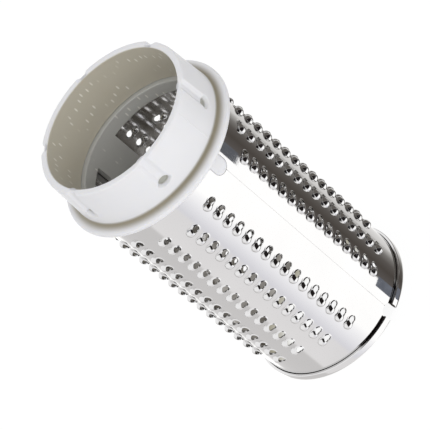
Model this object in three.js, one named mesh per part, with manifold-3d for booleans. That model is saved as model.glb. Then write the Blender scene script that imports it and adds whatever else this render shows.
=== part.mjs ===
// A grating drum: a punched steel sheet rolled into a tube, with a moulded collar on its drive end.
// Lengths are in millimetres and angles in degrees. The drum stands on its hemmed rim with its axis
// along +Z and the collar on top. The seam and the drive notch are at -Y.
import * as THREE from "three";
import { mergeVertices } from "three/addons/utils/BufferGeometryUtils.js";
import Module from "manifold-3d";

// The whole drum and the sheet rolled into it.
const overallHeight = 126.8;
const wallRadius = 30;
const sheetThickness = 0.4;
const pieceGap = 0.3;

// The collar: how far its forms stand out from the sheet, and its heights from the flange's underside.
const collarHeight = 20.3;
const flangeReach = 4.6;
const flangeLipHeight = 1.9;
const flangeRound = 0.5;
const neckFootReach = 1.03;
const neckFootRise = 3.35;
const neckFootWall = 2.43;
const neckTaper = 0.88;
const mouthWall = 2.5;
const mouthRound = 0.4;
const socketClearance = 0.35;
const socketDepth = 0.8;

// The grooves along the neck, open at the mouth, and the pocket at the foot of each.
const grooveCount = 6;
const firstGrooveAngle = -60;
const grooveWidth = 5.3;
const grooveDepth = 1.05;
const grooveLength = 12.2;
const grooveEndRound = 1.6;
const pocketWidth = 4.7;
const pocketHeight = 1.6;
const pocketDepth = 0.7;

// The key that hangs from the flange into the sheet's upper notch.
const seamAngle = -90;
const keyWidth = 5.6;
const keyDrop = 9.2;
const keyThickness = 0.65;

// The ring inside the sheet's end.
const ringWall = 2.2;
const ringClearance = 0.4;
const ringHeight = 5.5;
const ringRound = 0.35;

// The hem: the sheet's rim turned outwards and back up on itself, with the drive notch through it.
const hemReach = 1.14;
const hemHeight = 3.4;
const hemFloor = 1;
const hemRound = 0.6;
const notchWidth = 5;
const notchHeight = 5.4;

// The punched teeth: rows along the tube, one slot in the ring of rows left plain for the seam, and
// each row staggered against the last by one part of the pitch in every rowsPerStagger.
const rowSlots = 18;
const seamSlotAngle = -92.7;
const teethInLongRow = 16;
const rowsPerStagger = 3;
const topToothMargin = 12.01;
const lowestToothHeight = 14.74;
const hoodRise = 1.6;
const lipRise = 1.1;
const toothTurn = 10;
const toothLengthShare = 0.511;
const toothWidthShare = 0.654;
const cellWidthShare = 0.6;

// A tooth is a hood raised over the near half of its hole. Its points are shares of its length and
// width from the row's middle: on the sheet the tail, the sides and the far edge of the hole, and
// above the sheet the hood's peak and the two ends of its cutting lip.
const tailShares = [-0.57, 0];
const sideShares = [
  [-0.1, -0.5],
  [-0.1, 0.5],
];
const farShares = [
  [0.44, -0.2],
  [0.44, 0.2],
];
const peakShares = [-0.2, 0];
const lipShares = [
  [0, -0.24],
  [0, 0.24],
];
const roundShares = [0.3, 0.7];

const collarSegments = 36;
const ringSegments = 36;
const arcSegments = 6;

// The sizes that follow from these.
const flangeBottom = overallHeight - collarHeight;
const flangeRadius = wallRadius + flangeReach;
const flangeLipTop = flangeBottom + flangeLipHeight;
const neckFootRadius = wallRadius + neckFootReach;
const neckFootHeight = flangeBottom + neckFootRise;
const neckBoreRadius = neckFootRadius - neckFootWall;
const neckBottom = flangeBottom + socketDepth;
const mouthOuterRadius = neckFootRadius - neckTaper;
const mouthInnerRadius = mouthOuterRadius - mouthWall;
const socketRadius = wallRadius + socketClearance;
const grooveEnd = overallHeight - grooveLength;
const keyEnd = flangeBottom - keyDrop;
const sheetTop = neckBottom - pieceGap;
const ringOuterRadius = wallRadius - sheetThickness - ringClearance;
const ringBoreRadius = ringOuterRadius - ringWall;
const ringBottom = sheetTop - ringHeight;
const hemRadius = wallRadius + hemReach;
const topToothHeight = sheetTop - topToothMargin;
const toothPitch = (topToothHeight - lowestToothHeight) / (teethInLongRow - 1);
const rowSpacing = (Math.PI * 2 * wallRadius) / rowSlots;
const toothLength = rowSpacing * toothLengthShare;
const toothWidth = toothPitch * toothWidthShare;

const turn = Math.PI / 180;
const half = (length) => length / 2;

const wasm = await Module();
wasm.setup();

// A three.js geometry as a solid that can be joined and cut.
function solid(geometry) {
  const bare = geometry.clone();
  bare.deleteAttribute("normal");
  bare.deleteAttribute("uv");
  const merged = mergeVertices(bare, 1e-3);
  return new wasm.Manifold(
    new wasm.Mesh({
      numProp: 3,
      vertProperties: new Float32Array(merged.attributes.position.array),
      triVerts: new Uint32Array(merged.index.array),
    }),
  );
}

// A solid back as a three.js geometry.
function geometryOf(body) {
  const mesh = body.getMesh();
  const points = new Float32Array(mesh.numVert * 3);
  for (let i = 0; i < mesh.numVert; i++) {
    const first = i * mesh.numProp;
    points.set(mesh.vertProperties.subarray(first, first + 3), i * 3);
  }
  const indexed = new THREE.BufferGeometry();
  indexed.setAttribute("position", new THREE.BufferAttribute(points, 3));
  indexed.setIndex(new THREE.BufferAttribute(new Uint32Array(mesh.triVerts), 1));
  const made = indexed.toNonIndexed();
  made.computeVertexNormals();
  return made;
}

// A ring about the Z axis from its closed section of radius and height.
function turned(section, segments) {
  const points = section.map(([radius, height]) => new THREE.Vector2(radius, height));
  points.push(points[0].clone());
  return new THREE.LatheGeometry(points, segments).rotateX(Math.PI / 2);
}

// A flat outline pushed outwards through the wall: x runs round the tube and y runs up its axis.
function radialPunch(outline, angle, innerRadius, outerRadius) {
  const made = new THREE.ExtrudeGeometry(outline, {
    depth: outerRadius - innerRadius,
    bevelEnabled: false,
    curveSegments: arcSegments,
  });
  const out = new THREE.Vector3(Math.cos(angle * turn), Math.sin(angle * turn), 0);
  const up = new THREE.Vector3(0, 0, 1);
  const round = new THREE.Vector3().crossVectors(up, out);
  const place = new THREE.Matrix4().makeBasis(round, up, out);
  place.setPosition(out.clone().multiplyScalar(innerRadius));
  return made.applyMatrix4(place);
}

// A slot outline with a half-round end at the bottom and a straight open end at the top.
function hangingSlot(width, bottom, top) {
  const radius = half(width);
  const outline = new THREE.Shape();
  outline.moveTo(radius, bottom + radius);
  outline.lineTo(radius, top);
  outline.lineTo(-radius, top);
  outline.lineTo(-radius, bottom + radius);
  outline.absarc(0, bottom + radius, radius, Math.PI, Math.PI * 2, false);
  return outline;
}

// The same slot the other way up.
function standingSlot(width, bottom, top) {
  const radius = half(width);
  const outline = new THREE.Shape();
  outline.moveTo(-radius, top - radius);
  outline.lineTo(-radius, bottom);
  outline.lineTo(radius, bottom);
  outline.lineTo(radius, top - radius);
  outline.absarc(0, top - radius, radius, 0, Math.PI, false);
  return outline;
}

// A rectangle with its lower corners rounded.
function trough(width, bottom, top, corner) {
  const side = half(width);
  const outline = new THREE.Shape();
  outline.moveTo(side, bottom + corner);
  outline.lineTo(side, top);
  outline.lineTo(-side, top);
  outline.lineTo(-side, bottom + corner);
  outline.quadraticCurveTo(-side, bottom, corner - side, bottom);
  outline.lineTo(side - corner, bottom);
  outline.quadraticCurveTo(side, bottom, side, bottom + corner);
  return outline;
}

// The grating sheet, built as the flat punched blank and rolled onto the tube.
function gratingDrum() {
  const triangles = [];
  const slotAngle = (Math.PI * 2) / rowSlots;
  const columnHalf = half(slotAngle * cellWidthShare);
  const innerRadius = wallRadius - sheetThickness;

  // A point of the blank: its angle, its distance round from the row's middle, its height on the
  // tube and its rise off the sheet, on the outer or the inner face.
  const rolled = (angle, across, height, rise, inner) => {
    const at = angle + across / wallRadius;
    const radius = (inner ? innerRadius : wallRadius) + rise;
    return [radius * Math.cos(at), radius * Math.sin(at), height];
  };
  const face = (a, b, c, inner) => {
    if (inner) triangles.push(a, c, b);
    else triangles.push(a, b, c);
  };

  // One tooth's points in the blank, its hole turned a little towards the collar.
  const cosTurn = Math.cos(toothTurn * turn);
  const sinTurn = Math.sin(toothTurn * turn);
  const placed = ([along, aside]) => {
    const x = along * toothLength;
    const y = aside * toothWidth;
    return new THREE.Vector2(x * cosTurn - y * sinTurn, x * sinTurn + y * cosTurn);
  };
  const tail = placed(tailShares);
  const side = sideShares.map(placed);
  const far = farShares.map(placed);
  const peak = placed(peakShares);
  const lip = lipShares.map(placed);
  const cellSide = columnHalf * wallRadius;
  const cellTop = half(toothPitch);
  const corners = [
    new THREE.Vector2(-cellSide, -cellTop),
    new THREE.Vector2(cellSide, -cellTop),
    new THREE.Vector2(cellSide, cellTop),
    new THREE.Vector2(-cellSide, cellTop),
  ];
  const outline = [tail, side[0], far[0], far[1], side[1]];
  const around = [...corners, ...outline];
  const plain = THREE.ShapeUtils.triangulateShape(corners, [outline]);

  const tooth = (angle, height, inner) => {
    const flat = (p) => rolled(angle, p.x, height + p.y, 0, inner);
    const top = rolled(angle, peak.x, height + peak.y, hoodRise, inner);
    const [low, high] = lip.map((p) => rolled(angle, p.x, height + p.y, lipRise, inner));
    for (const [a, b, c] of plain) {
      face(flat(around[a]), flat(around[b]), flat(around[c]), inner);
    }
    face(flat(tail), flat(side[0]), top, inner);
    face(flat(side[0]), low, top, inner);
    face(low, high, top, inner);
    face(high, flat(side[1]), top, inner);
    face(flat(side[1]), flat(tail), top, inner);
    return [flat(side[0]), flat(far[0]), flat(far[1]), flat(side[1]), high, low];
  };

  // The edge of each hole, through the thickness of the sheet.
  const holeWall = (outer, inner) => {
    outer.forEach((point, i) => {
      const next = (i + 1) % outer.length;
      triangles.push(point, outer[next], inner[next]);
      triangles.push(point, inner[next], inner[i]);
    });
  };

  // The heights at which each row's cells meet, from the hem to the sheet's upper end.
  const rows = [];
  for (let slot = 0; slot < rowSlots; slot++) {
    const angle = seamSlotAngle * turn + slot * slotAngle;
    const step = (slot + 1) % rowsPerStagger;
    const highest = topToothHeight - (step * toothPitch) / rowsPerStagger;
    const full = step === 0 ? teethInLongRow : teethInLongRow - 1;
    const count = slot === 0 ? 0 : full;
    const middles = [];
    for (let i = 0; i < count; i++) middles.push(highest - i * toothPitch);
    const levels = [sheetTop];
    if (count > 0) {
      levels.push(highest + cellTop);
      for (const middle of middles) levels.push(middle - cellTop);
    }
    levels.push(hemHeight);
    rows.push({ angle, middles, levels });
  }

  const quad = (a, b, c, d, inner) => {
    face(a, b, c, inner);
    face(a, c, d, inner);
  };
  for (const inner of [false, true]) {
    rows.forEach((row, slot) => {
      const left = (height) => rolled(row.angle - columnHalf, 0, height, 0, inner);
      const right = (height) => rolled(row.angle + columnHalf, 0, height, 0, inner);
      const { levels } = row;
      const last = levels.length - 1;
      quad(left(levels[1]), right(levels[1]), right(levels[0]), left(levels[0]), inner);
      if (last > 1) {
        quad(left(levels[last]), right(levels[last]), right(levels[last - 1]), left(levels[last - 1]), inner);
      }
      // The plain strip up to the next row, whose cells are staggered against this row's.
      const next = rows[(slot + 1) % rowSlots];
      const beyond = slot + 1 === rowSlots ? Math.PI * 2 : 0;
      const far = (height) => rolled(next.angle + beyond - columnHalf, 0, height, 0, inner);
      let i = 0;
      let j = 0;
      while (i < last || j < next.levels.length - 1) {
        const here = i < last ? levels[i + 1] : -Infinity;
        const there = j < next.levels.length - 1 ? next.levels[j + 1] : -Infinity;
        if (here > there) {
          face(right(levels[i]), right(here), far(next.levels[j]), inner);
          i += 1;
        } else {
          face(right(levels[i]), far(there), far(next.levels[j]), inner);
          j += 1;
        }
      }
    });
  }
  for (const row of rows) {
    for (const middle of row.middles) {
      holeWall(tooth(row.angle, middle, false), tooth(row.angle, middle, true));
    }
  }

  // The plain rings that close the sheet: the hem's section from the wall's outside round to its
  // inside, and the cut edge at the top.
  const ringAngles = [];
  for (const row of rows) ringAngles.push(row.angle - columnHalf, row.angle + columnHalf);
  const band = (from, to) => {
    ringAngles.forEach((start, i) => {
      const end = i + 1 < ringAngles.length ? ringAngles[i + 1] : ringAngles[0] + Math.PI * 2;
      const point = ([radius, height], at) => [radius * Math.cos(at), radius * Math.sin(at), height];
      triangles.push(point(from, start), point(to, end), point(from, end));
      triangles.push(point(from, start), point(to, start), point(to, end));
    });
  };
  const foldInner = hemRadius - sheetThickness;
  const section = [
    [wallRadius, hemHeight],
    [wallRadius, hemFloor],
    [foldInner, hemFloor],
    [foldInner, hemHeight],
    [hemRadius, hemHeight],
    [hemRadius, hemRound],
    [hemRadius - hemRound, 0],
    [innerRadius + hemRound, 0],
    [innerRadius, hemRound],
    [innerRadius, hemHeight],
  ];
  for (let i = 0; i + 1 < section.length; i++) band(section[i], section[i + 1]);
  band([innerRadius, sheetTop], [wallRadius, sheetTop]);

  const sheet = new THREE.BufferGeometry();
  sheet.setAttribute("position", new THREE.Float32BufferAttribute(triangles.flat(), 3));
  const reach = wallRadius * 2;
  const low = standingSlot(notchWidth, -notchHeight, notchHeight);
  const high = hangingSlot(keyWidth + pieceGap * 2, keyEnd - pieceGap, sheetTop + notchHeight);
  const lowPunch = radialPunch(low, seamAngle, half(wallRadius), reach);
  const highPunch = radialPunch(high, seamAngle, half(wallRadius), reach);
  return solid(sheet).subtract(solid(lowPunch)).subtract(solid(highPunch));
}

function driveCollar() {
  const [small, large] = roundShares;
  const body = turned(
    [
      [socketRadius, flangeBottom],
      [flangeRadius - flangeRound, flangeBottom],
      [flangeRadius - flangeRound * small, flangeBottom + flangeRound * small],
      [flangeRadius, flangeBottom + flangeRound],
      [flangeRadius, flangeLipTop - flangeRound],
      [flangeRadius - flangeRound * small, flangeLipTop - flangeRound * small],
      [flangeRadius - flangeRound, flangeLipTop],
      [neckFootRadius, neckFootHeight],
      [mouthOuterRadius, overallHeight - mouthRound],
      [mouthOuterRadius - mouthRound * small, overallHeight - mouthRound * small],
      [mouthOuterRadius - mouthRound, overallHeight],
      [mouthInnerRadius + mouthRound, overallHeight],
      [mouthInnerRadius + mouthRound * small, overallHeight - mouthRound * small],
      [mouthInnerRadius, overallHeight - mouthRound * large],
      [neckBoreRadius, neckBottom],
      [socketRadius, neckBottom],
    ],
    collarSegments,
  );
  let made = solid(body);

  // The grooves follow the neck's taper. The pocket at the foot of each goes deeper.
  const rise = overallHeight - neckFootHeight;
  const taper = Math.atan2(neckFootRadius - mouthOuterRadius, rise);
  const neckAt = (height) =>
    neckFootRadius - ((neckFootRadius - mouthOuterRadius) * (height - neckFootHeight)) / rise;
  const floorRadius = neckAt(grooveEnd) - grooveDepth;
  const groove = trough(grooveWidth, 0, grooveLength + grooveEndRound, grooveEndRound);
  const pocket = trough(pocketWidth, -half(pocketHeight), half(pocketHeight), half(pocketHeight));
  for (let i = 0; i < grooveCount; i++) {
    const angle = firstGrooveAngle + (i * 360) / grooveCount;
    const axis = new THREE.Vector3(-Math.sin(angle * turn), Math.cos(angle * turn), 0);
    const lean = new THREE.Matrix4().makeRotationAxis(axis, -taper);
    const lift = new THREE.Matrix4().makeTranslation(
      floorRadius * Math.cos(angle * turn),
      floorRadius * Math.sin(angle * turn),
      grooveEnd,
    );
    const groovePunch = radialPunch(groove, angle, 0, half(wallRadius));
    const pocketPunch = radialPunch(pocket, angle, -pocketDepth, half(wallRadius));
    pocketPunch.translate(0, 0, half(pocketHeight) - sheetThickness);
    for (const punch of [groovePunch, pocketPunch]) {
      made = made.subtract(solid(punch.applyMatrix4(lean).applyMatrix4(lift)));
    }
  }

  // The key is a half-round tongue that follows the sheet's curve.
  const keyInner = wallRadius - sheetThickness;
  const shell = turned(
    [
      [keyInner, keyEnd - keyWidth],
      [keyInner + keyThickness, keyEnd - keyWidth],
      [keyInner + keyThickness, neckBottom + pieceGap],
      [keyInner, neckBottom + pieceGap],
    ],
    collarSegments,
  );
  const tongue = hangingSlot(keyWidth, keyEnd, neckBottom + keyWidth);
  const key = solid(shell).intersect(
    solid(radialPunch(tongue, seamAngle, half(wallRadius), wallRadius * 2)),
  );
  return made.add(key);
}

function retainingRing() {
  const top = neckBottom - pieceGap;
  return solid(
    turned(
      [
        [ringBoreRadius + ringRound, ringBottom],
        [ringOuterRadius - ringRound, ringBottom],
        [ringOuterRadius, ringBottom + ringRound],
        [ringOuterRadius, top],
        [ringBoreRadius + ringRound, top],
        [ringBoreRadius, top - ringRound],
        [ringBoreRadius, ringBottom + ringRound],
      ],
      ringSegments,
    ),
  );
}

function piece(name, body, colour, roughness, metalness) {
  const material = new THREE.MeshStandardMaterial({ color: colour, roughness, metalness });
  const mesh = new THREE.Mesh(geometryOf(body), material);
  mesh.name = name;
  return mesh;
}

const drum = new THREE.Group();
drum.add(piece("grating_drum", gratingDrum(), 0xc9cacd, 0.18, 1));
drum.add(piece("drive_collar", driveCollar(), 0xe6e6e3, 0.4, 0));
drum.add(piece("retaining_ring", retainingRing(), 0xb9b8b2, 0.5, 0));

export default drum;
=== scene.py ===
import math

import bpy
import numpy as np
from mathutils import Matrix, Vector
from mathutils.geometry import delaunay_2d_cdt


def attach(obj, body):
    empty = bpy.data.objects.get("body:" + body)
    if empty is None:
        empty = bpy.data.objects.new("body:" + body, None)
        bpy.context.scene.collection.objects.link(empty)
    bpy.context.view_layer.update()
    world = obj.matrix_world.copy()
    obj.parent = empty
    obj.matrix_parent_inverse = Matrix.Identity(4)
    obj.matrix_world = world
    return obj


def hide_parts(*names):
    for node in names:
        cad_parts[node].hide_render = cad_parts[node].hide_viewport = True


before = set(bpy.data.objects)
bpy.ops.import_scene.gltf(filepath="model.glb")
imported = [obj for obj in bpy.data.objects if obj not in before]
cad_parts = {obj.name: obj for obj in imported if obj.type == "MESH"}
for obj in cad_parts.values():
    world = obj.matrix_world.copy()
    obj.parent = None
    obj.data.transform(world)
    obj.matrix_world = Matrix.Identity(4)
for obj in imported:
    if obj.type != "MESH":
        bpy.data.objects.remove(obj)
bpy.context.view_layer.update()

MM = 0.001
TURN = math.pi / 180

# ---------------------------------------------------------------- sizes, in millimetres and degrees
WALL_R = 30.0
SHEET_T = 0.4
SHEET_TOP = 107.0
SEAM = -90.0
SLOTS = 18
SLOT_0 = -92.7
PITCH = 5.35
TOP_TOOTH = 94.87
LONG_ROW = 16

# ---------------------------------------------------------------- helpers


def new_mesh(name, points, faces, material, normals=None, smooth=True):
    """A mesh object in metres from points in millimetres and a list of faces (arrays of 3 or 4 columns)."""
    mesh = bpy.data.meshes.new(name)
    faces = [np.asarray(f, np.int32) for f in faces if len(f)]
    loops = np.concatenate([f.ravel() for f in faces])
    counts = np.concatenate([np.full(len(f), f.shape[1], np.int32) for f in faces])
    starts = np.concatenate([[0], np.cumsum(counts)[:-1]]).astype(np.int32)
    mesh.vertices.add(len(points))
    mesh.vertices.foreach_set("co", (np.asarray(points) * MM).astype(np.float32).ravel())
    mesh.loops.add(len(loops))
    mesh.loops.foreach_set("vertex_index", loops)
    mesh.polygons.add(len(counts))
    mesh.polygons.foreach_set("loop_start", starts)
    mesh.polygons.foreach_set("loop_total", counts)
    mesh.update(calc_edges=True)
    mesh.validate()
    mesh.polygons.foreach_set("use_smooth", np.full(len(counts), smooth, bool))
    if normals is not None:
        mesh.normals_split_custom_set_from_vertices([tuple(n) for n in normals])
    obj = bpy.data.objects.new(name, mesh)
    bpy.context.scene.collection.objects.link(obj)
    obj.data.materials.append(material)
    return obj


def cylinder_point(angle, radius, height):
    return np.stack([radius * np.cos(angle), radius * np.sin(angle), height + 0 * angle], -1)


class Sheet:
    """Points, normals and faces gathered for the punched sheet."""

    def __init__(self):
        self.points, self.normals, self.tris, self.quads, self.count = [], [], [], [], 0

    def add(self, points, normals, quads=(), tris=()):
        if len(quads):
            self.quads.append(np.asarray(quads) + self.count)
        if len(tris):
            self.tris.append(np.asarray(tris) + self.count)
        self.points.append(points)
        self.normals.append(normals)
        self.count += len(points)

    def object(self, name, material):
        quads = np.concatenate(self.quads) if self.quads else np.zeros((0, 4), int)
        tris = np.concatenate(self.tris) if self.tris else np.zeros((0, 3), int)
        return new_mesh(
            name,
            np.concatenate(self.points),
            [quads, tris],
            material,
            normals=np.concatenate(self.normals),
        )


def rolled(angle, across, height, rise, normal):
    """The blank's points and normals (across, up, out) laid on the tube round a row's middle angle."""
    at = angle + across / WALL_R
    radius = WALL_R + rise
    p = np.stack([radius * np.cos(at), radius * np.sin(at), height], -1)
    out = np.stack([np.cos(at), np.sin(at), 0 * at], -1)
    side = np.stack([-np.sin(at), np.cos(at), 0 * at], -1)
    up = np.zeros_like(out)
    up[:, 2] = 1
    n = side * normal[:, :1] + up * normal[:, 1:2] + out * normal[:, 2:3]
    return p, n


# ---------------------------------------------------------------- one punched tooth
LOOP = 48
FACE_RINGS = 13
OUT_RINGS = 3
TOOTH_TURN = 10.0
TOOTH_LIFT = 0.05
RISE = 1.6
DOME_X = -1.4
DOME_BACK = 1.6
DOME_FRONT = 2.5
DOME_HALF = 1.75
SWELL = 0.45
SWELL_R = 2.9
HOLE_X = 1.15
HOLE_R = 1.22
RIM_RISE = 0.2
SKIRT = 0.35
CELL_U = WALL_R * math.pi / SLOTS
CELL_W = PITCH / 2


def cell_loop():
    """The cell's rim, anticlockwise from the middle of its right side."""
    side = LOOP // 4
    s = np.linspace(0, 1, side + 1)[:-1]
    half = np.linspace(0, 1, side // 2 + 1)[:-1]
    right_up = np.stack([np.full_like(half, CELL_U), half * CELL_W], -1)
    top = np.stack([CELL_U * (1 - 2 * s), np.full_like(s, CELL_W)], -1)
    left = np.stack([np.full_like(s, -CELL_U), CELL_W * (1 - 2 * s)], -1)
    bottom = np.stack([CELL_U * (2 * s - 1), np.full_like(s, -CELL_W)], -1)
    right_low = np.stack([np.full_like(half, CELL_U), CELL_W * (half - 1)], -1)
    return np.concatenate([right_up, top, left, bottom, right_low])


def blister(x, y):
    """The rise over a tooth's own plan: a dome, and a low rim round the hole in front of it."""
    along = np.where(x > DOME_X, (x - DOME_X) / DOME_FRONT, (DOME_X - x) / DOME_BACK)
    away = np.sqrt(along**2 + (y / DOME_HALF) ** 2)
    dome = np.maximum(1 - away**2.2, 0) ** 0.7 * RISE
    gap = (np.hypot(x - HOLE_X, y) - HOLE_R) / SKIRT
    rim = RIM_RISE * np.maximum(1 - np.maximum(gap, 0) ** 1.3, 0) ** 1.3
    swell = SWELL * np.maximum(1 - (x**2 + y**2) / SWELL_R**2, 0) ** 2
    return (dome**3 + (rim + swell) ** 3) ** (1 / 3)


def foot_reach(angle):
    """How far the raised metal goes from the hole's middle in a direction."""
    reach = np.full_like(angle, HOLE_R + 2 * SKIRT)
    ca, sa = np.cos(angle), np.sin(angle)
    for r in np.linspace(HOLE_R, 5, 400):
        x, y = HOLE_X + r * ca, r * sa
        along = np.where(x > DOME_X, (x - DOME_X) / DOME_FRONT, (DOME_X - x) / DOME_BACK)
        inside = along**2 + (y / DOME_HALF) ** 2 < 1
        reach = np.where(inside, np.maximum(reach, r), reach)
    for _ in range(2):
        reach = np.maximum(reach, (np.roll(reach, 1) + reach + np.roll(reach, -1)) / 3)
    return reach + 0.02


def tooth_patch():
    """One tooth's grid in the blank: points (across, up, rise), their normals and the quads."""
    turn = TOOTH_TURN * TURN
    rot = np.array([[math.cos(turn), -math.sin(turn)], [math.sin(turn), math.cos(turn)]])
    psi = np.arange(LOOP) * 2 * math.pi / LOOP - turn
    angle = psi + 0.42 * np.sin(psi)
    way = np.stack([np.cos(angle), np.sin(angle)], -1)
    hole = np.array([HOLE_X, 0]) + way * HOLE_R
    foot = np.array([HOLE_X, 0]) + way * foot_reach(angle)[:, None]
    lift = np.array([0.0, TOOTH_LIFT])
    rim = cell_loop()
    points, normals = [], []
    d = 1e-4
    for k in range(FACE_RINGS + 1):
        t = 1 - (1 - k / FACE_RINGS) ** 1.5
        xy = hole + (foot - hole) * t
        x, y = xy[:, 0], xy[:, 1]
        rise = blister(x, y)
        along, across = blister(x + d, y) - blister(x - d, y), blister(x, y + d) - blister(x, y - d)
        slope = np.stack([along, across], -1) / (2 * d)
        if k == FACE_RINGS:
            rise, slope = 0 * rise, 0 * slope
        slope = slope @ rot.T
        n = np.column_stack([-slope, np.ones(LOOP)])
        points.append(np.column_stack([xy @ rot.T + lift, rise]))
        normals.append(n / np.linalg.norm(n, axis=1, keepdims=True))
    foot = foot @ rot.T + lift
    for k in range(1, OUT_RINGS + 1):
        t = k / OUT_RINGS
        xy = foot + (rim - foot) * t
        points.append(np.column_stack([xy, np.zeros(LOOP)]))
        normals.append(np.tile([0.0, 0.0, 1.0], (LOOP, 1)))
    grid, normal = np.array(points), np.array(normals)
    rows = len(grid)
    i, j = np.meshgrid(np.arange(rows - 1), np.arange(LOOP), indexing="ij")
    a = i * LOOP + j
    b = i * LOOP + (j + 1) % LOOP
    quads = np.stack([a, a + LOOP, b + LOOP, b], -1).reshape(-1, 4)
    return grid.reshape(-1, 3), normal.reshape(-1, 3), quads


PATCH, PATCH_N, PATCH_Q = tooth_patch()


def add_tooth(sheet, angle, height):
    across, up, rise = PATCH[:, 0], PATCH[:, 1], PATCH[:, 2]
    p, n = rolled(angle, across, height + up, rise, PATCH_N)
    sheet.add(p, n, quads=PATCH_Q)
    inner = p - n * SHEET_T
    sheet.add(inner, -n, quads=PATCH_Q[:, ::-1])
    # the cut edge of the hole, with its own normals
    j = np.arange(LOOP)
    top, low = p[:LOOP], inner[:LOOP]
    along = np.roll(top, -1, 0) - np.roll(top, 1, 0)
    wall_n = np.cross(along, n[:LOOP])
    wall_n /= np.linalg.norm(wall_n, axis=1, keepdims=True)
    centre = top.mean(0)
    flip = np.sign(((centre - top) * wall_n).sum(1, keepdims=True))
    wall_n = wall_n * np.median(flip)
    k = (j + 1) % LOOP
    quads = np.stack([j, k, k + LOOP, j + LOOP], -1)
    sheet.add(np.concatenate([top, low]), np.concatenate([wall_n, wall_n]), quads=quads)


def add_band(sheet, angle, low, high, rows):
    """A plain stretch of one row's width between two heights."""
    u = np.linspace(-CELL_U, CELL_U, LOOP // 4 + 1)
    w = np.linspace(low, high, rows + 1)
    uu, ww = np.meshgrid(u, w)
    n = np.zeros((uu.size, 3))
    n[:, 2] = 1
    p, n = rolled(angle, uu.ravel(), ww.ravel(), 0 * uu.ravel(), n)
    i, j = np.meshgrid(np.arange(rows), np.arange(len(u) - 1), indexing="ij")
    a = i * len(u) + j
    quads = np.stack([a, a + 1, a + 1 + len(u), a + len(u)], -1).reshape(-1, 4)
    sheet.add(p, n, quads=quads)
    sheet.add(p - n * SHEET_T, -n, quads=quads[:, ::-1])


HEM_IN = 0.7
HEM_OUT = 31.14
HEM_WIDE = 1.6
HEM_TOP = 3.4
HEM_GAP = 0.24
HEM_SQUARE = 7
HEM_END = 4.85
SEAM_AT = 1.3
SEAM_LEAN = 18
NOTCH_HALF = 2.5
NOTCH_TOP = 5.4
KEY_HALF = 3.1
KEY_LOW = 97.0


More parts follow.
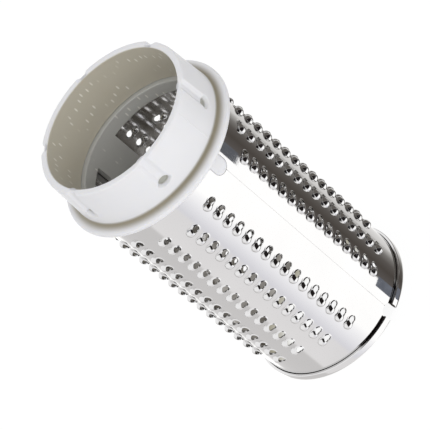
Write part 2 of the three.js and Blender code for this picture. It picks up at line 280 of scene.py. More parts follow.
def add_seam_column(sheet):
    """The plain strip with the seam and the two notches, cut from the blank by triangulation."""
    middle = SLOT_0 * TURN
    centre = (SEAM - SLOT_0) * TURN * WALL_R
    seam_u = centre + SEAM_AT * TURN * WALL_R
    pts, edges = [], []

    def chain(line, closed=False):
        first = len(pts)
        pts.extend(line)
        last = len(pts) - 1
        edges.extend((i, i + 1) for i in range(first, last))
        if closed:
            edges.append((last, first))

    arc = np.linspace(0, math.pi, 25)
    low_z = NOTCH_TOP - NOTCH_HALF
    low_notch = [(centre + NOTCH_HALF, HEM_WIDE)]
    low_notch += [(centre + NOTCH_HALF * math.cos(a), low_z + NOTCH_HALF * math.sin(a)) for a in arc]
    low_notch += [(centre - NOTCH_HALF, HEM_WIDE)]
    high_z = KEY_LOW + KEY_HALF
    high_notch = [(centre - KEY_HALF, SHEET_TOP)]
    high_notch += [(centre - KEY_HALF * math.cos(a), high_z - KEY_HALF * math.sin(a)) for a in arc]
    high_notch += [(centre + KEY_HALF, SHEET_TOP)]
    chain([(-CELL_U, HEM_WIDE)] + low_notch[::-1] + [(CELL_U, HEM_WIDE)])
    chain([(CELL_U, SHEET_TOP)] + high_notch[::-1] + [(-CELL_U, SHEET_TOP)])
    levels = np.linspace(HEM_WIDE, SHEET_TOP, 121)
    chain([(-CELL_U, z) for z in levels])
    chain([(CELL_U, z) for z in levels])

    def free(u, z, room=0.25):
        du = abs(u - centre)
        if z < low_z and du < NOTCH_HALF + room:
            return False
        if math.hypot(u - centre, z - low_z) < NOTCH_HALF + room:
            return False
        if z > high_z and du < KEY_HALF + room:
            return False
        return math.hypot(u - centre, z - high_z) > KEY_HALF + room

    seam_low, seam_high = NOTCH_TOP - 0.35, KEY_LOW + 0.3
    seam_levels = np.linspace(seam_low, seam_high, 160)
    for du in (-0.14, 0.0, 0.14):
        chain([(seam_u + du, z) for z in seam_levels if free(seam_u + du, z, 0.05)])
    for u in np.linspace(-CELL_U, CELL_U, 15)[1:-1]:
        if abs(u - seam_u) > 0.35:
            pts.extend((u, z) for z in levels[1:-1] if free(u, z))
    verts, _, faces, _, _, _ = delaunay_2d_cdt([Vector(p) for p in pts], edges, [], 0, 1e-5)
    verts = np.array([(v.x, v.y) for v in verts])
    keep = []
    for f in faces:
        cu, cz = verts[f].mean(0)
        if free(cu, cz, 0.0):
            keep.append(f)
    tris = np.array(keep)
    a, b, c = verts[tris[:, 0]], verts[tris[:, 1]], verts[tris[:, 2]]
    area = np.cross(b - a, c - a)
    tris = tris[abs(area) > 1e-7]
    area = area[abs(area) > 1e-7]
    tris[area < 0] = tris[area < 0][:, ::-1]
    du = verts[:, 0] - seam_u
    on_seam = (abs(du) < 0.13) & (verts[:, 1] > seam_low) & (verts[:, 1] < seam_high)
    rise = np.where(on_seam, -0.12, 0.0)
    lean = np.where(on_seam, SEAM_LEAN * TURN, 0.0)
    n = np.column_stack([np.sin(lean), 0 * lean, np.cos(lean)])
    p, n = rolled(middle, verts[:, 0], verts[:, 1], rise, n)
    sheet.add(p, n, tris=tris)
    flat, n2 = rolled(middle, verts[:, 0], verts[:, 1], 0 * rise, np.tile([0.0, 0.0, 1.0], (len(verts), 1)))
    sheet.add(flat - n2 * SHEET_T, -n2, tris=tris[:, ::-1])
    # the cut edges of the two notches
    for line in (low_notch, high_notch):
        line = np.array(line)
        t = np.gradient(line, axis=0)
        t /= np.linalg.norm(t, axis=1, keepdims=True)
        inward = np.stack([-t[:, 1], t[:, 0], 0 * t[:, 0]], -1)
        top, wall_n = rolled(middle, line[:, 0], line[:, 1], 0 * line[:, 0], inward)
        at = middle + line[:, 0] / WALL_R
        out = np.stack([np.cos(at), np.sin(at), 0 * at], -1)
        low = top - out * SHEET_T
        count = len(line)
        j = np.arange(count - 1)
        quads = np.stack([j, j + 1, j + 1 + count, j + count], -1)
        sheet.add(np.concatenate([top, low]), np.concatenate([wall_n, wall_n]), quads=quads)


def add_hem(sheet):
    """The rim rolled outwards and back against the wall, from one side of the drive notch to the other."""
    angles = np.linspace((SEAM + HEM_END) * TURN, (SEAM - HEM_END + 360) * TURN, 361)
    under = WALL_R - SHEET_T + HEM_IN
    tip = WALL_R + HEM_GAP
    outer, normal = [], []
    # from the wall's inside down and round under the bead, then up its outside to the tip at the wall
    for centre, reach, height, start, end, count, square in (
        (under, HEM_IN, HEM_WIDE, 180, 270, 9, 2),
        (under, HEM_OUT - under, HEM_WIDE, 270, 360, 11, 2),
        (tip, HEM_OUT - tip, HEM_TOP - HEM_WIDE, 0, 90, 25, HEM_SQUARE),
    ):
        for a in np.linspace(start, end, count)[1 if outer else 0:]:
            c, v = (math.copysign(abs(w) ** (2 / square), w) for w in (math.cos(a * TURN), math.sin(a * TURN)))
            outer.append((centre + reach * c, HEM_WIDE + height * v))
            c, v = (math.copysign(abs(w) ** (square - 1), w) for w in (c, v))
            slope = math.hypot(c / reach, v / height)
            normal.append((c / reach / slope, v / height / slope))
    outer, normal = np.array(outer), np.array(normal)
    # the tip's cut edge turns down into the gap against the wall
    edge = np.array([(tip - 0.01, HEM_TOP - 0.06), (tip - 0.01, HEM_TOP - 1.2)])
    profile = np.concatenate([outer, edge])
    normal = np.concatenate([normal, [(-1.0, 0.0), (-1.0, 0.0)]])
    count = len(profile)
    aa, ii = np.meshgrid(angles, np.arange(count), indexing="ij")
    r, z = profile[ii.ravel(), 0], profile[ii.ravel(), 1]
    nr, nz = normal[ii.ravel(), 0], normal[ii.ravel(), 1]
    a = aa.ravel()
    p = np.stack([r * np.cos(a), r * np.sin(a), z], -1)
    n = np.stack([nr * np.cos(a), nr * np.sin(a), nz], -1)
    i, j = np.meshgrid(np.arange(len(angles) - 1), np.arange(count - 1), indexing="ij")
    q = i * count + j
    sheet.add(p, n, quads=np.stack([q, q + count, q + count + 1, q + 1], -1).reshape(-1, 4))
    # the rolled section that shows at each end of the bead: the sheet's thickness round a hollow
    inside = outer - np.stack([normal[: len(outer), 0], normal[: len(outer), 1]], -1) * SHEET_T
    count = len(outer)
    for end, sign in ((angles[0], -1), (angles[-1], 1)):
        both = np.concatenate([outer, inside])
        ring = np.stack([both[:, 0] * math.cos(end), both[:, 0] * math.sin(end), both[:, 1]], -1)
        k = np.arange(count - 1)
        quads = np.stack([k, k + 1, k + 1 + count, k + count], -1)
        face = np.tile([-math.sin(end) * sign, math.cos(end) * sign, 0.0], (2 * count, 1))
        sheet.add(ring, face, quads=quads if sign < 0 else quads[:, ::-1])
        # a short way into the bead its inner face shows
        deep = end - sign * 2.0 * TURN
        far = np.stack([inside[:, 0] * math.cos(deep), inside[:, 0] * math.sin(deep), inside[:, 1]], -1)
        near = ring[count:]
        turn_n = np.stack(
            [-normal[:count, 0] * math.cos(end), -normal[:count, 0] * math.sin(end), -normal[:count, 1]], -1
        )
        quads = np.stack([k, k + 1, k + 1 + count, k + count], -1)
        sheet.add(
            np.concatenate([near, far]), np.concatenate([turn_n, turn_n]), quads=quads if sign > 0 else quads[:, ::-1]
        )


def grating_sheet(material):
    sheet = Sheet()
    step = PITCH / 12
    for slot in range(1, SLOTS):
        angle = (SLOT_0 + slot * 360 / SLOTS) * TURN
        phase = (slot + 1) % 3
        count = LONG_ROW if phase == 0 else LONG_ROW - 1
        top = TOP_TOOTH - phase * PITCH / 3
        for i in range(count):
            add_tooth(sheet, angle, top - i * PITCH)
        low_edge = top - (count - 1) * PITCH - CELL_W
        add_band(sheet, angle, HEM_WIDE, low_edge, max(2, round((low_edge - HEM_WIDE) / step / 2)))
        add_band(sheet, angle, top + CELL_W, SHEET_TOP, max(2, round((SHEET_TOP - top) / step / 2)))
    add_seam_column(sheet)
    add_hem(sheet)
    # the cut edge at the upper end
    a = np.linspace(0, 2 * math.pi, 217)
    outer = cylinder_point(a, WALL_R, SHEET_TOP)
    inner = cylinder_point(a, WALL_R - SHEET_T, SHEET_TOP)
    j = np.arange(len(a) - 1)
    gap = abs(((a - SEAM * TURN + math.pi) % (2 * math.pi)) - math.pi) * WALL_R > KEY_HALF
    j = j[gap[:-1]]
    quads = np.stack([j, j + 1, j + 1 + len(a), j + len(a)], -1)
    n = np.tile([0.0, 0.0, 1.0], (2 * len(a), 1))
    sheet.add(np.concatenate([outer, inner]), n, quads=quads)
    return sheet.object("grating_sheet", material)


# ---------------------------------------------------------------- collar and ring


def smoothstep(x):
    x = np.clip(x, 0, 1)
    return x * x * (3 - 2 * x)


FLANGE_BOTTOM = 106.5
FLANGE_R = 34.6
FLANGE_TOP = 108.4
NECK_FOOT_R = 31.03
NECK_FOOT_Z = 109.85
MOUTH_R = 30.15
MOUTH_TOP = 126.8
MOUTH_IN = 27.65
BORE_R = 28.6
NECK_BOTTOM = 107.3
SOCKET_R = 30.35
GROOVES = [-60 + 60 * i for i in range(6)]
GROOVE_W = 5.3
GROOVE_D = 1.05
GROOVE_END = 114.6
PARTING = -81.2


def arc_points(cr, cz, radius, start, end, count):
    return [
        (cr + radius * math.cos(a * TURN), cz + radius * math.sin(a * TURN)) for a in np.linspace(start, end, count)
    ]


def drive_collar(material):
    neck_levels = np.concatenate(
        [
            np.linspace(NECK_FOOT_Z + 0.35, 113.2, 8),
            np.linspace(113.4, 117.0, 46),
            np.linspace(117.3, MOUTH_TOP - 0.75, 24),
        ]
    )
    run = MOUTH_TOP - NECK_FOOT_Z

    def neck_r(z):
        return NECK_FOOT_R - (NECK_FOOT_R - MOUTH_R) * (z - NECK_FOOT_Z) / run

    profile = [(SOCKET_R, FLANGE_BOTTOM), (32.0, FLANGE_BOTTOM), (33.6, FLANGE_BOTTOM)]
    profile += arc_points(FLANGE_R - 0.7, FLANGE_BOTTOM + 0.7, 0.7, -90, 0, 9)
    profile += arc_points(FLANGE_R - 0.75, FLANGE_TOP - 0.75, 0.75, 0, 78, 9)
    profile += [(33.2, 108.55), (32.6, 108.75), (32.1, 108.93), (31.7, 109.1), (31.4, 109.3), (31.2, 109.55)]
    outer_first = len(profile)
    profile += [(neck_r(z), z) for z in neck_levels]
    rim_out = arc_points(MOUTH_R - 0.62, MOUTH_TOP - 0.62, 0.62, 3, 90, 10)
    profile += rim_out
    profile += [(29.2, MOUTH_TOP), (28.9, MOUTH_TOP), (28.6, MOUTH_TOP)]
    outer_last = len(profile)
    profile += arc_points(MOUTH_IN + 0.62, MOUTH_TOP - 0.62, 0.62, 90, 177, 10)
    inner_levels = np.linspace(MOUTH_TOP - 1.2, NECK_BOTTOM, 26)
    profile += [
        (MOUTH_IN + (BORE_R - MOUTH_IN) * (MOUTH_TOP - z) / (MOUTH_TOP - NECK_BOTTOM), z) for z in inner_levels
    ]
    profile += [(29.4, NECK_BOTTOM), (SOCKET_R, NECK_BOTTOM), (SOCKET_R, FLANGE_BOTTOM + 0.3)]
    profile = np.array(profile)

    base = list(np.arange(0, 360, 1.5))
    for g in GROOVES:
        base += [g + d for d in np.linspace(-5.6, 5.6, 46)]
    base += [PARTING + d for d in np.linspace(-0.6, 0.6, 13)]
    angles = np.unique(np.round(np.mod(base, 360), 3))
    keep = [angles[0]]
    for a in angles[1:]:
        if a - keep[-1] > 0.06:
            keep.append(a)
    angles = np.array(keep) * TURN
    aa, ii = np.meshgrid(angles, np.arange(len(profile)), indexing="ij")
    r, z = profile[ii, 0].copy(), profile[ii, 1].copy()
    outside = (ii >= outer_first) & (ii < outer_last)
    for g in GROOVES:
        d = (aa - g * TURN + math.pi) % (2 * math.pi) - math.pi
        x = d * 29.6
        # a soft channel that runs out of the mouth and dies away at its foot, where an oval pocket is
        across = smoothstep((GROOVE_W / 2 - np.abs(x)) / 1.9)
        along = smoothstep((z - GROOVE_END + 0.4) / 1.6)
        depth = GROOVE_D * across * along
        oval = np.hypot(x / 2.55, (z - GROOVE_END - 0.5) / 1.45)
        depth = depth + smoothstep((1.12 - oval) / 0.5) * np.maximum(0, GROOVE_D + 0.8 - depth)
        r = np.where(outside, r - depth, r)
    d = (aa - PARTING * TURN + math.pi) % (2 * math.pi) - math.pi
    line = np.exp(-((d * 30.5 / 0.15) ** 2)) * 0.11
    neck_only = outside & (z > 110.5) & (z < 125.2)
    r = np.where(neck_only, r + line, r)
    p = np.stack([r * np.cos(aa), r * np.sin(aa), z], -1).reshape(-1, 3)
    count = len(profile)
    i, j = np.meshgrid(np.arange(len(angles)), np.arange(count), indexing="ij")
    i2, j2 = (i + 1) % len(angles), (j + 1) % count
    quads = np.stack([i * count + j, i2 * count + j, i2 * count + j2, i * count + j2], -1).reshape(-1, 4)
    obj = new_mesh("collar_moulding", p, [quads], material)
    obj.data.set_sharp_from_angle(angle=math.radians(38))
    return obj


def collar_key(material):
    """The half-round key in the sheet's upper notch, a little domed."""
    half, thick = 3.0, 0.65
    low = KEY_LOW + 0.1
    ring = [(half, 107.5)]
    centre_z = low + half
    ring += [(half * math.cos(a), centre_z - half * math.sin(a)) for a in np.linspace(0, math.pi, 33)]
    ring += [(-half, 107.5)]
    ring = np.array(ring)
    levels = [(1.0, 0.0), (1.0, 0.38), (0.96, 0.52), (0.88, 0.6), (0.7, 0.64), (0.35, thick)]
    grids = []
    for share, rise in levels:
        flat = ring.copy()
        flat[:, 0] *= share
        flat[:, 1] = np.where(flat[:, 1] < centre_z, centre_z + (flat[:, 1] - centre_z) * share, flat[:, 1])
        at = SEAM * TURN + flat[:, 0] / WALL_R
        radius = WALL_R - SHEET_T + rise
        grids.append(np.stack([radius * np.cos(at), radius * np.sin(at), flat[:, 1]], -1))
    middle = ring.copy()
    middle[:, 0] = 0
    middle[:, 1] = np.maximum(middle[:, 1], centre_z)
    at = SEAM * TURN + 0 * middle[:, 0]
    radius = WALL_R - SHEET_T + thick
    grids.append(np.stack([radius * np.cos(at), radius * np.sin(at), middle[:, 1]], -1))
    grid = np.array(grids)
    count = grid.shape[1]
    i, j = np.meshgrid(np.arange(len(grids) - 1), np.arange(count - 1), indexing="ij")
    q = i * count + j
    quads = np.stack([q, q + count, q + count + 1, q + 1], -1).reshape(-1, 4)
    obj = new_mesh("collar_key", grid.reshape(-1, 3), [quads], material)
    return obj


RING_OUT, RING_IN = 29.2, 27.0
RING_LOW, RING_TOP = 101.5, 107.0
TONGUE = 91.0
TONGUE_HALF = 7.1
TONGUE_LOW = 84.0
TONGUE_CORNER = 2.0


def retaining_ring(material):
    """The ring in the sheet's end and the tongue that hangs from it: one band whose lower edge drops there."""
    half_turn = TONGUE_HALF / RING_OUT / TURN
    base = [a for a in np.arange(0, 360, 1.875) if abs((a - TONGUE + 180) % 360 - 180) > half_turn + 0.2]
    inner = np.linspace(-1, 1, 41)
    corner_turn = TONGUE_CORNER / RING_OUT / TURN
    near = [TONGUE + half_turn * v for v in inner]
    for side in (-1, 1):
        near += [TONGUE + side * (half_turn - corner_turn * (1 - math.cos(t))) for t in np.linspace(0.15, 1.5, 8)]
    near += [TONGUE + s * (half_turn + 0.02) for s in (-1, 1)]
    angles = np.unique(np.round(np.concatenate([base, near]) % 360, 4))

    def lower(angle):
        away = abs((angle - TONGUE + 180) % 360 - 180) * TURN * RING_OUT
        if away > TONGUE_HALF:
            return RING_LOW
        into = max(0.0, away - (TONGUE_HALF - TONGUE_CORNER))
        return TONGUE_LOW + TONGUE_CORNER - math.sqrt(max(TONGUE_CORNER**2 - into**2, 0))

    rings = []
    for angle in angles:
        low = lower(angle)
        profile = [(RING_IN + 0.4, low), (RING_OUT - 0.4, low)]
        profile += arc_points(RING_OUT - 0.3, low + 0.3, 0.3, -90, 0, 5)
        profile += [(RING_OUT, RING_TOP - 0.1), (RING_OUT - 0.1, RING_TOP)]
        profile += arc_points(RING_IN + 0.45, RING_TOP - 0.45, 0.45, 90, 180, 9)
        profile += [(RING_IN, z) for z in np.linspace(RING_TOP - 1.2, low + 1.0, 6)]
        profile += arc_points(RING_IN + 0.3, low + 0.3, 0.3, 180, 270, 5)[:-1]
        profile = np.array(profile)
        a = angle * TURN
        rings.append(np.stack([profile[:, 0] * math.cos(a), profile[:, 0] * math.sin(a), profile[:, 1]], -1))
    p = np.array(rings)
    count = p.shape[1]
    i, j = np.meshgrid(np.arange(len(angles)), np.arange(count), indexing="ij")
    i2, j2 = (i + 1) % len(angles), (j + 1) % count
    quads = np.stack([i * count + j, i2 * count + j, i2 * count + j2, i * count + j2], -1).reshape(-1, 4)
    obj = new_mesh("retaining_band", p.reshape(-1, 3), [quads], material)
    obj.data.set_sharp_from_angle(angle=math.radians(38))
    return obj


# ---------------------------------------------------------------- materials


def new_material(name):
    mat = bpy.data.materials.new(name)
    mat.use_nodes = True
    nodes = mat.node_tree.nodes
    nodes.clear()
    out = nodes.new("ShaderNodeOutputMaterial")
    shader = nodes.new("ShaderNodeBsdfPrincipled")
    mat.node_tree.links.new(shader.outputs[0], out.inputs["Surface"])
    return mat, nodes, mat.node_tree.links, shader


def steel():
    mat, nodes, links, shader = new_material("polished_steel")
    shader.inputs["Metallic"].default_value = 1.0
    coord = nodes.new("ShaderNodeTexCoord")
    stretch = nodes.new("ShaderNodeMapping")
    stretch.inputs["Scale"].default_value = (1, 1, 9)
    links.new(coord.outputs["Object"], stretch.inputs[0])
    scratch = nodes.new("ShaderNodeTexNoise")
    scratch.inputs["Scale"].default_value = 420
    scratch.inputs["Detail"].default_value = 4
    links.new(stretch.outputs[0], scratch.inputs["Vector"])
    smudge = nodes.new("ShaderNodeTexNoise")
    smudge.inputs["Scale"].default_value = 60
    smudge.inputs["Detail"].default_value = 3
    links.new(coord.outputs["Object"], smudge.inputs["Vector"])
    rough = nodes.new("ShaderNodeMapRange")
    rough.inputs["To Min"].default_value = 0.035
    rough.inputs["To Max"].default_value = 0.075
    links.new(smudge.outputs["Fac"], rough.inputs["Value"])
    links.new(rough.outputs[0], shader.inputs["Roughness"])
    tint = nodes.new("ShaderNodeMix")
    tint.data_type = "RGBA"
    tint.inputs[6].default_value = (0.62, 0.615, 0.61, 1)
    tint.inputs[7].default_value = (0.67, 0.665, 0.66, 1)
    links.new(smudge.outputs["Fac"], tint.inputs[0])
    links.new(tint.outputs[2], shader.inputs["Base Color"])
    bump = nodes.new("ShaderNodeBump")
    bump.inputs["Strength"].default_value = 0.04
    bump.inputs["Distance"].default_value = 0.0001
    links.new(scratch.outputs["Fac"], bump.inputs["Height"])
    links.new(bump.outputs[0], shader.inputs["Normal"])
    return mat


def plastic(name, light, dark, rough, subsurface):
    mat, nodes, links, shader = new_material(name)
    coord = nodes.new("ShaderNodeTexCoord")
    cloud = nodes.new("ShaderNodeTexNoise")
    cloud.inputs["Scale"].default_value = 90
    cloud.inputs["Detail"].default_value = 5
    links.new(coord.outputs["Object"], cloud.inputs["Vector"])
    tint = nodes.new("ShaderNodeMix")
    tint.data_type = "RGBA"
    tint.inputs[6].default_value = (*dark, 1)
    tint.inputs[7].default_value = (*light, 1)
    links.new(cloud.outputs["Fac"], tint.inputs[0])
    links.new(tint.outputs[2], shader.inputs["Base Color"])
    grain = nodes.new("ShaderNodeTexNoise")
    grain.inputs["Scale"].default_value = 2600
    grain.inputs["Detail"].default_value = 2
    links.new(coord.outputs["Object"], grain.inputs["Vector"])
    spread = nodes.new("ShaderNodeMapRange")
    spread.inputs["To Min"].default_value = rough - 0.05
    spread.inputs["To Max"].default_value = rough + 0.05
    links.new(cloud.outputs["Fac"], spread.inputs["Value"])
    links.new(spread.outputs[0], shader.inputs["Roughness"])
    bump = nodes.new("ShaderNodeBump")
    bump.inputs["Strength"].default_value = 0.05
    bump.inputs["Distance"].default_value = 0.00003
    links.new(grain.outputs["Fac"], bump.inputs["Height"])
    links.new(bump.outputs[0], shader.inputs["Normal"])
    shader.inputs["Subsurface Weight"].default_value = subsurface
    shader.inputs["Subsurface Radius"].default_value = (1.0, 0.9, 0.7)
    shader.inputs["Subsurface Scale"].default_value = 0.0015
    return mat


class Graph:
    """A node tree with short calls for what several shaders need."""

    def __init__(self, tree):
        self.nodes, self.links = tree.nodes, tree.links

    def maths(self, operation, *inputs):
        node = self.nodes.new("ShaderNodeMath")
        node.operation = operation
        for k, value in enumerate(inputs):
            if isinstance(value, (int, float)):
                node.inputs[k].default_value = value
            else:
                self.links.new(value, node.inputs[k])
        return node.outputs[0]

    def step(self, value, none, full):
        """0 at none and 1 at full, smooth between them."""
        node = self.nodes.new("ShaderNodeMapRange")
        node.interpolation_type = "SMOOTHSTEP"
        node.inputs["From Min"].default_value = none
        node.inputs["From Max"].default_value = full
        self.links.new(value, node.inputs["Value"])
        return node.outputs[0]

    def mixed(self, share, under, over):
        """One colour laid over another by a share; each colour is a tuple or a socket."""
        mix = self.nodes.new("ShaderNodeMix")
        mix.data_type = "RGBA"
        for k, value in ((0, share), (6, under), (7, over)):
            if isinstance(value, tuple):
                mix.inputs[k].default_value = (*value, 1)
            else:
                self.links.new(value, mix.inputs[k])
        return mix.outputs[2]

    def noise(self, scale):
        """Soft noise over the object, and the object's own coordinates."""
        coord = self.nodes.new("ShaderNodeTexCoord")
        cloud = self.nodes.new("ShaderNodeTexNoise")
        cloud.inputs["Scale"].default_value = scale
        self.links.new(coord.outputs["Object"], cloud.inputs["Vector"])
        return cloud.outputs["Fac"], coord.outputs["Object"]


# painted light: size and colour of the spots of light let in through the holes
SPOT_ACROSS, SPOT_ALONG = 2.6, 8.5
PAINTED_LIGHT_SPOT_COLOUR = (0.95, 0.93, 0.87)


def paint_light_and_shade(mat, zones, spots):
    """Paints light and shade on a moulding: darker colours by radius and height in millimetres where shade falls, and
    spots of light; the last argument gives its inner face's radius and the spots' strength.
    """
    graph = Graph(mat.node_tree)
    nodes, links, maths, step = graph.nodes, graph.links, graph.maths, graph.step
    shader = next(n for n in nodes if n.type == "BSDF_PRINCIPLED")
    last = shader.inputs["Base Color"].links[0].from_socket
    patches, coord = graph.noise(70)
    split = nodes.new("ShaderNodeSeparateXYZ")
    links.new(coord, split.inputs[0])
    x, y, z = split.outputs
    radius = maths("SQRT", maths("ADD", maths("MULTIPLY", x, x), maths("MULTIPLY", y, y)))
    # painted shade: each zone's darker colour is laid over the plastic where its radius and height fall
    for colour, radii, heights in zones:
        mask = None
        for value, limits in ((radius, radii), (z, heights)):
            for none, full in limits:
                part = step(value, none * MM, full * MM)
                mask = part if mask is None else maths("MULTIPLY", mask, part)
        last = graph.mixed(mask, last, colour)
    # painted light: spots of light let in through the holes, in rows down the inner face, in patches
    face, strength = spots
    place = nodes.new("ShaderNodeCombineXYZ")
    links.new(maths("MULTIPLY", maths("ARCTAN2", y, x), 28 / SPOT_ACROSS), place.inputs[0])
    links.new(maths("MULTIPLY", z, 1 / (SPOT_ALONG * MM)), place.inputs[1])
    cells = nodes.new("ShaderNodeTexVoronoi")
    cells.voronoi_dimensions = "2D"
    cells.inputs["Scale"].default_value = 1
    cells.inputs["Randomness"].default_value = 0.55
    links.new(place.outputs[0], cells.inputs["Vector"])
    mask = maths("MULTIPLY", step(cells.outputs["Distance"], 0.15, 0.07), step(patches, 0.46, 0.58))
    mask = maths("MULTIPLY", mask, step(radius, (face + 0.08) * MM, face * MM))
    last = graph.mixed(maths("MULTIPLY", mask, strength), last, PAINTED_LIGHT_SPOT_COLOUR)
    links.new(last, shader.inputs["Base Color"])


STEEL = steel()
WHITE = plastic("collar_plastic", (0.775, 0.775, 0.795), (0.735, 0.735, 0.755), 0.38, 0.25)
GREY = plastic("ring_plastic", (0.55, 0.55, 0.53), (0.5, 0.5, 0.48), 0.45, 0.0)
paint_light_and_shade(
    WHITE,
    [
        # painted shade: the neck's bore made a darker beige for the dimmer light inside it, and the trough at its
        # foot and the pockets of the grooves made dark where shade falls
        ((0.575, 0.54, 0.45), [(28.76, 28.68)], [(126.75, 126.2)]),
        ((0.27, 0.24, 0.175), [(34.1, 31.25), (30.6, 30.8)], [(108.2, 108.5), (110.7, 109.5)]),
        ((0.40, 0.40, 0.36), [(29.75, 29.0), (28.78, 28.86)], [(112.2, 113.0), (117.6, 116.4)]),
    ],
    (28.7, 0.7),
)
# painted light spots on the ring's inner face
paint_light_and_shade(GREY, [], (27.1, 0.6))

sheet = grating_sheet(STEEL)
collar = drive_collar(WHITE)
key = collar_key(WHITE)
ring = retaining_ring(GREY)
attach(sheet, "root")
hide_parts("grating_drum")
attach(collar, "root")
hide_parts("drive_collar")
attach(key, "root")
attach(ring, "root")
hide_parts("retaining_ring")

# ---------------------------------------------------------------- floor, world, lights, camera


CAMERA_AZIMUTH = -111.2
FLOOR_R, FLOOR_Z = 900, -0.2
SHADE_R, SHADE_Z = 29.5, -0.1
RIM_SHADE_IN, RIM_SHADE_OUT, RIM_SHADE_Z = 18, 29.4, -0.15


def disc(radius, height):
    return [(radius * math.cos(a), radius * math.sin(a), height) for a in np.linspace(0, 2 * math.pi, 97)[:-1]]


def stage_piece(name, points, faces, mat, camera=True, glossy=True, diffuse=True, shadow=True):
    """A piece of the studio from points in millimetres, and which rays see it."""
    mesh = bpy.data.meshes.new(name)
    mesh.from_pydata([tuple(c * MM for c in p) for p in points], [], faces)
    obj = bpy.data.objects.new(name, mesh)
    obj.data.materials.append(mat)
    bpy.context.scene.collection.objects.link(obj)
    obj.visible_camera, obj.visible_glossy = camera, glossy
    obj.visible_diffuse, obj.visible_shadow = diffuse, shadow


def stage_material(name):
    """An emission material: the material, its graph, the emission and the output."""
    mat = bpy.data.materials.new(name)
    mat.use_nodes = True
    graph = Graph(mat.node_tree)
    graph.nodes.clear()
    out = graph.nodes.new("ShaderNodeOutputMaterial")
    glow = graph.nodes.new("ShaderNodeEmission")
    graph.links.new(glow.outputs[0], out.inputs["Surface"])
    return mat, graph, glow, out


def floor_piece():
    """White to the camera with a little of the matt floor in it, so that it keeps the object's shadow."""
    mat, graph, glow, out = stage_material("pale_floor")
    path = graph.nodes.new("ShaderNodeLightPath")
    matt = graph.nodes.new("ShaderNodeBsdfDiffuse")
    matt.inputs["Color"].default_value = (0.9, 0.9, 0.9, 1)
    glow.inputs["Strength"].default_value = 1.06
    mix = graph.nodes.new("ShaderNodeMixShader")
    graph.links.new(graph.maths("MULTIPLY", path.outputs["Is Camera Ray"], 0.86), mix.inputs[0])
    graph.links.new(matt.outputs[0], mix.inputs[1])
    graph.links.new(glow.outputs[0], mix.inputs[2])
    graph.links.new(mix.outputs[0], out.inputs["Surface"])
    stage_piece("floor", disc(FLOOR_R, FLOOR_Z), [list(range(96))], mat, glossy=False)


def shade_piece():
    """The dark under the drum: a disc that only reflections and light see."""
    mat, graph, glow, _ = stage_material("under_drum")
    cloud, _ = graph.noise(55)
    ramp = graph.nodes.new("ShaderNodeValToRGB")
    ramp.color_ramp.elements[0].position = 0.4
    ramp.color_ramp.elements[0].color = (0.10, 0.088, 0.07, 1)
    ramp.color_ramp.elements[1].position = 0.62
    ramp.color_ramp.elements[1].color = (0.55, 0.53, 0.50, 1)
    graph.links.new(cloud, ramp.inputs[0])
    graph.links.new(ramp.outputs[0], glow.inputs["Color"])
    stage_piece("under_drum", disc(SHADE_R, SHADE_Z), [list(range(96))], mat, camera=False, diffuse=False)


def rim_shade():
    """The soft shade on the floor inside the drum's far side, which the camera sees through the lower holes."""
    mat, graph, glow, _ = stage_material("rim_shade")
    nodes, links = graph.nodes, graph.links
    coord = nodes.new("ShaderNodeTexCoord")
    length = nodes.new("ShaderNodeVectorMath")
    length.operation = "LENGTH"
    links.new(coord.outputs["Object"], length.inputs[0])
    share = nodes.new("ShaderNodeMapRange")
    share.inputs["From Min"].default_value = RIM_SHADE_IN * MM
    share.inputs["From Max"].default_value = RIM_SHADE_OUT * MM
    links.new(length.outputs["Value"], share.inputs["Value"])
    ramp = nodes.new("ShaderNodeValToRGB")
    links.new(share.outputs[0], ramp.inputs[0])
    elements = ramp.color_ramp.elements
    elements[0].color = (1.0, 1.0, 1.0, 1)
    elements[1].color = (0.30, 0.28, 0.21, 1)
    for place, colour in ((0.2, (0.9, 0.9, 0.88)), (0.45, (0.52, 0.51, 0.46)), (0.75, (0.42, 0.40, 0.33))):
        elements.new(place).color = (*colour, 1)
    along = nodes.new("ShaderNodeVectorMath")
    along.operation = "DOT_PRODUCT"
    along.inputs[1].default_value = (-math.cos(CAMERA_AZIMUTH * TURN), -math.sin(CAMERA_AZIMUTH * TURN), 0)
    links.new(coord.outputs["Object"], along.inputs[0])
    far = graph.step(along.outputs["Value"], -6 * MM, 6 * MM)
    links.new(graph.mixed(far, (1.0, 1.0, 1.0), ramp.outputs[0]), glow.inputs["Color"])
    points, faces = [], []
    angles = [(CAMERA_AZIMUTH + a) * TURN for a in np.linspace(75, 285, 85)]
    for a in angles:
        points += [(r * math.cos(a), r * math.sin(a), RIM_SHADE_Z) for r in (RIM_SHADE_IN, RIM_SHADE_OUT)]
    for k in range(len(angles) - 1):
        faces.append([2 * k, 2 * k + 1, 2 * k + 3, 2 * k + 2])
    stage_piece("rim_shade", points, faces, mat, glossy=False, diffuse=False, shadow=False)


def reflected_shade_card(name, corners, dark, light):
    """Painted shade for the wall's reflections: a small glowing card of uneven grey that only reflections see, from
    corners in millimetres.
    """
    mat, graph, glow, _ = stage_material(name)
    cloud, _ = graph.noise(260)
    graph.links.new(graph.mixed(cloud, dark, light), glow.inputs["Color"])
    stage_piece(name, corners, [list(range(len(corners)))], mat, camera=False, diffuse=False, shadow=False)


def seen_from(angle, away, height):
    """Where the camera's ray off the wall at an angle from the studio's front has gone, some way out."""
    a, out = (CAMERA_AZIMUTH + angle) * TURN, (CAMERA_AZIMUTH + 2 * angle) * TURN
    return (
        WALL_R * math.cos(a) + away * math.cos(out),
        WALL_R * math.sin(a) + away * math.sin(out),
        height - away * math.tan(37.8 * TURN),
    )


floor_piece()
shade_piece()
rim_shade()
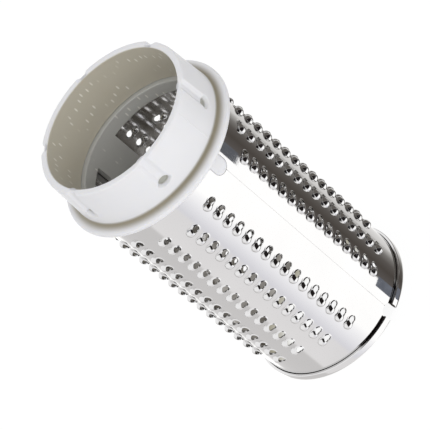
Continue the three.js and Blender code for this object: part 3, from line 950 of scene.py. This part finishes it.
# painted shade in the wall's reflections: one card on the floor by the drum's foot, one where the reflections from
# near the collar go
FOOT = [seen_from(a, d, 0) for a, d in ((29.5, 2), (29.5, 15), (32, 15), (34.5, 15), (37, 15), (37, 2))]
reflected_shade_card("foot_shade_card", [(x, y, -0.1) for x, y, _ in FOOT], (0.13, 0.14, 0.17), (0.26, 0.28, 0.33))
reflected_shade_card(
    "upper_shade_card",
    [seen_from(29.5, 60, 112), seen_from(29.5, 60, 95), seen_from(37.5, 60, 95), seen_from(37.5, 60, 112)],
    (0.11, 0.115, 0.13),
    (0.20, 0.21, 0.235),
)


def make_world():
    """White behind the object; for light an even studio; for reflections cards by direction."""
    world = bpy.data.worlds.new("studio")
    bpy.context.scene.world = world
    world.use_nodes = True
    graph = Graph(world.node_tree)
    nodes, links, maths, step = graph.nodes, graph.links, graph.maths, graph.step
    nodes.clear()

    out = nodes.new("ShaderNodeOutputWorld")
    white = nodes.new("ShaderNodeBackground")
    soft = nodes.new("ShaderNodeBackground")
    cards = nodes.new("ShaderNodeBackground")
    path = nodes.new("ShaderNodeLightPath")
    first = nodes.new("ShaderNodeMixShader")
    second = nodes.new("ShaderNodeMixShader")
    links.new(path.outputs["Is Glossy Ray"], first.inputs[0])
    links.new(soft.outputs[0], first.inputs[1])
    links.new(cards.outputs[0], first.inputs[2])
    links.new(path.outputs["Is Camera Ray"], second.inputs[0])
    links.new(first.outputs[0], second.inputs[1])
    links.new(white.outputs[0], second.inputs[2])
    links.new(second.outputs[0], out.inputs["Surface"])
    soft.inputs["Color"].default_value = (*SOFT_LIGHT, 1)
    coord = nodes.new("ShaderNodeTexCoord")
    split = nodes.new("ShaderNodeSeparateXYZ")
    links.new(coord.outputs["Generated"], split.inputs[0])
    azimuth = maths("ARCTAN2", split.outputs["Y"], split.outputs["X"])
    # azimuth from the studio's front, in degrees, -180 to 180; then the height above the horizon
    azimuth = maths("ADD", azimuth, -CAMERA_AZIMUTH * TURN)
    azimuth = maths("MULTIPLY", maths("WRAP", azimuth, math.pi, -math.pi), 1 / TURN)
    height = maths("MULTIPLY", maths("ARCSINE", split.outputs["Z"]), 1 / TURN)
    share = nodes.new("ShaderNodeMapRange")
    share.inputs["From Min"].default_value = -180
    share.inputs["From Max"].default_value = 180
    links.new(azimuth, share.inputs["Value"])
    ramp = nodes.new("ShaderNodeValToRGB")
    links.new(share.outputs[0], ramp.inputs[0])
    elements = ramp.color_ramp.elements
    while len(elements) > 1:
        elements.remove(elements[-1])
    elements[0].position = 0.0
    elements[0].color = (*LOW_CARDS[0][1], 1)
    for degrees, colour in LOW_CARDS[1:]:
        made = elements.new((degrees + 180) / 360)
        made.color = (*colour, 1)
    # above the low cards the studio is a soft white, with dark gaps in it
    last = graph.mixed(step(height, -22, 4), ramp.outputs[0], HIGH_CARDS)
    for left, right, low, high, edge, colour in GAPS:
        inside = maths(
            "MULTIPLY",
            maths("MULTIPLY", step(azimuth, left - edge, left + edge), step(azimuth, right + edge, right - edge)),
            maths("MULTIPLY", step(height, low - edge, low + edge), step(height, high + edge, high - edge)),
        )
        last = graph.mixed(inside, last, colour)
    links.new(last, cards.inputs["Color"])
    cards.inputs["Strength"].default_value = CARD_POWER
    return world


SOFT_LIGHT = (0.8, 0.8, 0.8)
CARD_POWER = 1.3
HIGH_CARDS = (0.95, 0.95, 0.96)
# the low cards by azimuth from the studio's front; a wall at an angle from the camera shows twice that angle
LOW_CARDS = [
    (-180, (1.10, 1.10, 1.09)),
    (-152, (1.08, 1.08, 1.07)),
    (-142, (0.66, 0.65, 0.65)),
    (-126, (0.64, 0.63, 0.63)),
    (-82, (0.65, 0.64, 0.64)),
    (-78, (0.84, 0.83, 0.835)),
    (-38, (0.82, 0.81, 0.82)),
    (-33, (0.78, 0.78, 0.83)),
    (-20, (0.92, 0.92, 0.96)),
    (-6, (1.08, 1.08, 1.10)),
    (2, (1.2, 1.2, 1.2)),
    (70, (1.2, 1.2, 1.2)),
    (72.5, (0.115, 0.105, 0.10)),
    (90, (0.078, 0.068, 0.06)),
    (104, (0.112, 0.102, 0.094)),
    (116, (0.21, 0.20, 0.19)),
    (128, (0.46, 0.45, 0.435)),
    (134, (0.66, 0.65, 0.64)),
    (150, (0.68, 0.67, 0.66)),
    (165, (0.78, 0.77, 0.76)),
    (180, (1.10, 1.10, 1.09)),
]
# dark gaps: left, right, low, high, edge (degrees) and colour
GAPS = [
    (85, 150, -6, 120, 8, (0.13, 0.12, 0.11)),
    (-20, 85, -13, 120, 4, (0.015, 0.012, 0.012)),
]
make_world()


def area_light(name, place, target, size, power, colour=(1, 1, 1)):
    light = bpy.data.lights.new(name, "AREA")
    light.shape = "DISK"
    light.size = size
    light.energy = power
    light.color = colour
    obj = bpy.data.objects.new(name, light)
    bpy.context.scene.collection.objects.link(obj)
    obj.location = place
    obj.rotation_mode = "QUATERNION"
    obj.rotation_quaternion = (Vector(target) - Vector(place)).to_track_quat("-Z", "Y")
    obj.visible_glossy = False
    return obj


area_light("key_light", (-0.25, -0.62, 0.45), (0, 0, 0.07), 0.5, 1.6)

camera = bpy.data.cameras.new("camera")
camera.sensor_width = 36
camera.lens = 240.426
camera.clip_start, camera.clip_end = 0.01, 20
camera_obj = bpy.data.objects.new("camera", camera)
bpy.context.scene.collection.objects.link(camera_obj)
camera_obj.matrix_world = Matrix(
    (
        (0.43193, 0.85631, -0.28313, -0.282022),
        (-0.66914, 0.09377, -0.73719, -0.727096),
        (-0.60472, 0.50787, 0.61350, 0.672769),
        (0, 0, 0, 1),
    )
)
bpy.context.scene.camera = camera_obj
bpy.context.scene.view_settings.view_transform = "Standard"
